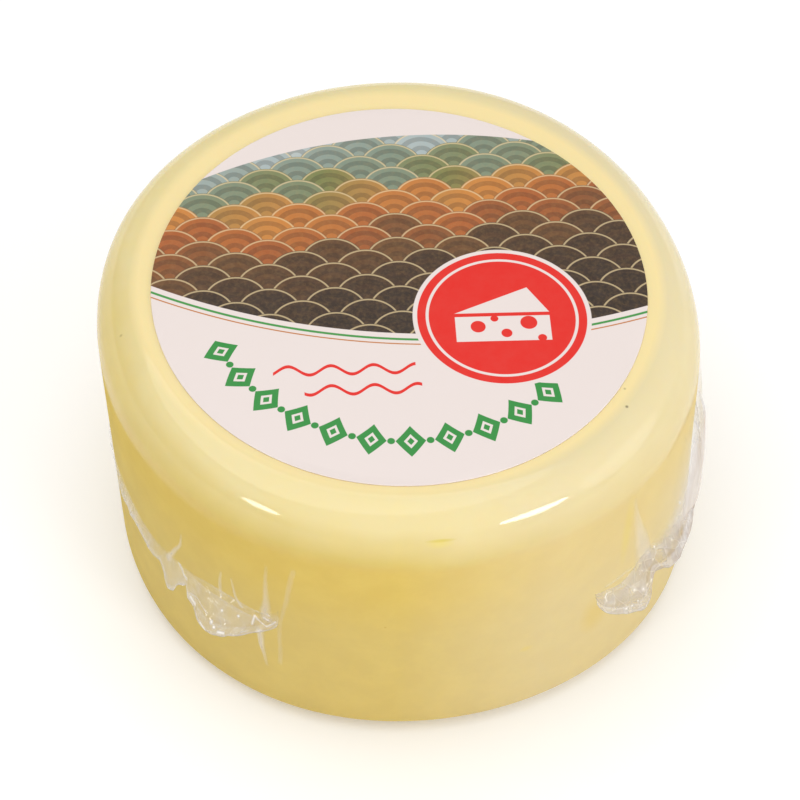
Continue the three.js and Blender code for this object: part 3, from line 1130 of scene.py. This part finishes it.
def floor_material(settings):
    """Matt pale paper with a faint cloudiness, which glows more far from the wheel."""
    material, graph, shader = new_material("studio floor")
    place = graph.millimetres()
    cloud = graph.times(graph.noise(place, 0.004, detail=3), 0.02)
    away = graph.vector("LENGTH", place)
    look = {
        "Base Color": graph.paint(settings.floor_color, (1, 1, 1), cloud),
        "Roughness": 0.9,
        "Specular IOR Level": 0.1,
        "Emission Color": graph.span(away, 300, 1500, settings.floor_glow, settings.far_glow),
        "Emission Strength": 1,
    }
    graph.fill(shader, look)
    return material


def lay_floor(settings):
    """A square floor under the wheel."""
    corners = [(FLOOR_HALF * x, FLOOR_HALF * y, 0) for x, y in ((-1, -1), (1, -1), (1, 1), (-1, 1))]
    mesh = bpy.data.meshes.new("floor")
    mesh.from_pydata(corners, [], [(0, 1, 2, 3)])
    mesh.materials.append(floor_material(settings))
    floor = add_object("floor", mesh)


def place_sky(settings):
    """White surroundings, a little brighter at the right, which the camera sees as plain white."""
    world = bpy.data.worlds.new("studio")
    world.use_nodes = True
    sky = Graph(world.node_tree)
    way = sky.node("ShaderNodeTexCoord").outputs["Generated"]
    strength = sky.times_plus(sky.parts(way)["X"], settings.sky_side, settings.sky)
    strength = sky.pick(strength, 1, sky.node("ShaderNodeLightPath").outputs["Is Camera Ray"])
    background = world.node_tree.nodes["Background"]
    sky.fill(background, {"Color": (1, 1, 1), "Strength": strength})
    bpy.context.scene.world = world


def place_light(name, azimuth, elevation, distance, width, height, watts):
    """An oval lamp at an azimuth and elevation round the wheel, facing it."""
    data = bpy.data.lights.new(name, "AREA")
    data.shape, data.size, data.size_y, data.energy = "ELLIPSE", width, height, watts
    lamp = add_object(name, data)
    turn, rise = np.radians(azimuth), np.radians(elevation)
    way = Vector((np.cos(turn) * np.cos(rise), np.sin(turn) * np.cos(rise), np.sin(rise)))
    facing = way.to_track_quat("Z", "Y").to_matrix().to_4x4()
    lamp.matrix_world = Matrix.Translation(Vector(AIM) * MM + way * distance) @ facing


def place_camera(settings):
    """A camera in front of the wheel and above it, rolled a little about its view."""
    rise, roll = np.radians(settings.elevation), np.radians(settings.roll)
    back = Vector((0, -np.cos(rise), np.sin(rise)))
    level_up = Vector((0, np.sin(rise), np.cos(rise)))
    right = Vector((1, 0, 0)) * np.cos(roll) + level_up * np.sin(roll)
    up = level_up * np.cos(roll) - Vector((1, 0, 0)) * np.sin(roll)
    data = bpy.data.cameras.new("camera")
    data.sensor_width, data.lens = 36, settings.lens
    camera = add_object("camera", data)
    place = Vector(AIM) * MM + back * settings.distance
    camera.matrix_world = Matrix.Translation(place) @ Matrix((right, up, back)).transposed().to_4x4()
    bpy.context.scene.camera = camera


# -------- operators


class KASHKAVAL_OT_cheese(bpy.types.Operator):
    """Make the cheese, out to its skin-tight film"""

    bl_idname = "kashkaval.cheese"
    bl_label = "Cheese"

    def execute(self, context):
        settings = context.scene.kashkaval_cheese
        shell = closed_shell(cheese_rings(settings.relief / MM))
        make_piece("cheese_body", [shell], cheese_material(settings), "cheese_wheel")
        return {"FINISHED"}


class KASHKAVAL_OT_label(bpy.types.Operator):
    """Make the round printed label on the top"""

    bl_idname = "kashkaval.label"
    bl_label = "Label"

    def execute(self, context):
        settings = context.scene.kashkaval_label
        shell = closed_shell(label_rings(settings.wave / MM))
        make_piece("label_disc", [shell], label_material(settings), "label")
        return {"FINISHED"}


class KASHKAVAL_OT_film(bpy.types.Operator):
    """Make the film's crinkled sealed edge and the creases that it pulls on the wall"""

    bl_idname = "kashkaval.film"
    bl_label = "Film"

    def execute(self, context):
        settings = context.scene.kashkaval_film
        rings, marks = frill(settings.crumple / MM)
        seam = make_piece(
            "film_frill", [closed_shell(rings)], creased_film(settings), "film_seam", marks
        )
        made = [crease(points, settings.crease) for points in CREASES + back_creases()]
        shells = [closed_shell(rings) for rings, _ in made]
        marks = np.concatenate([marks for _, marks in made], axis=1)
        creases = make_piece("film_creases", shells, stretched_film(settings), marks=marks)
        for piece in (seam, creases):
            piece.visible_shadow = piece.visible_diffuse = False
        return {"FINISHED"}


class KASHKAVAL_OT_stage(bpy.types.Operator):
    """Set the pale floor, the soft studio light and the camera"""

    bl_idname = "kashkaval.stage"
    bl_label = "Stage"

    def execute(self, context):
        settings = context.scene.kashkaval_stage
        lay_floor(settings)
        place_sky(settings)
        for light in LIGHTS:
            place_light(*light)
        place_camera(settings)
        context.scene.view_settings.view_transform = "Standard"
        return {"FINISHED"}


class KASHKAVAL_PT_panel(bpy.types.Panel):
    """Lists the wheel's pieces and their settings"""

    bl_idname = "KASHKAVAL_PT_panel"
    bl_label = "Kashkaval"
    bl_space_type = "VIEW_3D"
    bl_region_type = "UI"
    bl_category = "Kashkaval"

    def draw(self, context):
        for operator in OPERATORS:
            name = operator.bl_idname.split(".")[1]
            box = self.layout.box()
            box.operator(operator.bl_idname)
            settings = getattr(context.scene, f"kashkaval_{name}")
            for prop in settings.bl_rna.properties:
                if prop.identifier not in {"rna_type", "name"}:
                    box.prop(settings, prop.identifier)


OPERATORS = (KASHKAVAL_OT_cheese, KASHKAVAL_OT_label, KASHKAVAL_OT_film, KASHKAVAL_OT_stage)
SETTINGS = {
    "cheese": CheeseSettings,
    "label": LabelSettings,
    "film": FilmSettings,
    "stage": StageSettings,
}


def register():
    for kind in (*SETTINGS.values(), *OPERATORS, KASHKAVAL_PT_panel):
        bpy.utils.register_class(kind)
    for name, kind in SETTINGS.items():
        setattr(bpy.types.Scene, f"kashkaval_{name}", PointerProperty(type=kind))


def unregister():
    for name in SETTINGS:
        delattr(bpy.types.Scene, f"kashkaval_{name}")
    for kind in reversed((*SETTINGS.values(), *OPERATORS, KASHKAVAL_PT_panel)):
        bpy.utils.unregister_class(kind)


def main():
    register()
    for name in SETTINGS:
        getattr(bpy.ops.kashkaval, name)()


if __name__ == "__main__":
    main()
